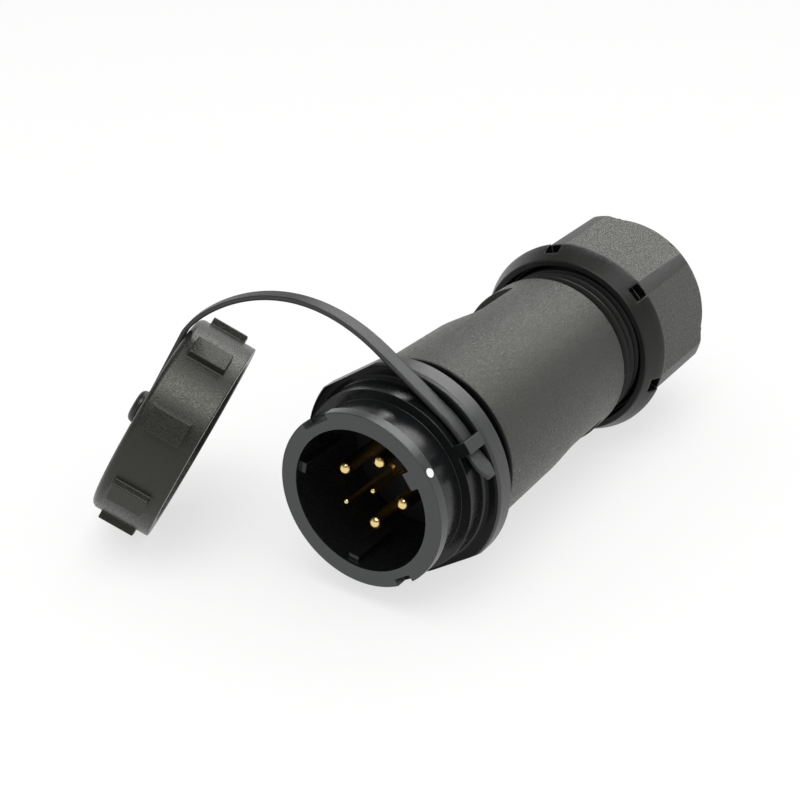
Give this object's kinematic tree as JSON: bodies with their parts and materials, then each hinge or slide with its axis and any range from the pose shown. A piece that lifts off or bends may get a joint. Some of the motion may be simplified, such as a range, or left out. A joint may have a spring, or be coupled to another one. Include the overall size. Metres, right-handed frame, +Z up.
{
  "type": "twist-lock circular connector",
  "caption": "In-line circular connector, pin half, with a notched twist-lock ring, keyed bore, tapered body, screw gland for a cable and a lugged dust cap on a strap.",
  "frame": {"origin": "centre of the mating face, on the connector's axis", "axes": "+Y along the connector's axis from the mating face to the cable end, +Z up as it lies on its side, +X to the right when looking along +Y"},
  "size_m": [0.073, 0.1126, 0.0458],
  "materials": {
    "shell_nylon": "satin to gloss moulded black",
    "body_nylon": "fine spark-textured black",
    "cap_nylon": "fine textured black",
    "insulator": "matte black",
    "seal_rubber": "matte black",
    "strap_rubber": "satin dark grey",
    "contact_gold": "gold plated"
  },
  "bodies": {
    "shell": {"front_shell": "shell_nylon", "contact_insert": "insulator", "contact_retainer": "insulator", "insert_o_ring": "seal_rubber", "insert_ring": "shell_nylon", "power_pin_1": "contact_gold", "power_pin_2": "contact_gold", "power_pin_3": "contact_gold", "power_pin_4": "contact_gold", "signal_pin_1": "contact_gold", "signal_pin_2": "contact_gold", "flange_gasket": "seal_rubber", "body_tube": "body_nylon", "gland_seal": "seal_rubber"},
    "claw": {"gland_claw": "body_nylon", "gland_washer": "insulator"},
    "nut": {"gland_nut": "body_nylon"},
    "strap": {"cap_strap": "strap_rubber"},
    "cap": {"dust_cap": "cap_nylon", "cap_gasket": "seal_rubber"}
  },
  "joints": [
    {"name": "claw_slide", "type": "slide", "parent": "shell", "child": "claw", "axis": [0, 1, 0], "range_m": [-0.0046, 0.0041]},
    {"name": "nut_turn", "type": "hinge", "parent": "claw", "child": "nut", "pos_m": [0, 0.083, 0], "axis": [0, 1, 0], "range_deg": [-810, 720]},
    {"name": "strap_flex", "type": "hinge", "parent": "shell", "child": "strap", "pos_m": [-0.0018, 0.0098, 0.0215], "axis": [0, 1, 0], "range_deg": [-10, 60], "stiffness_Nm_per_rad": 0.02, "deforming": ["cap_strap"]},
    {"name": "cap_swivel", "type": "hinge", "parent": "strap", "child": "cap", "pos_m": [-0.0445, 0.0015, 0.0026], "axis": [0.8156, 0.3295, -0.4756], "continuous": true}
  ],
  "couplings": [
    {"joint": "claw_slide", "follows": "nut_turn", "m_per_rad": 0.00031831}
  ]
}
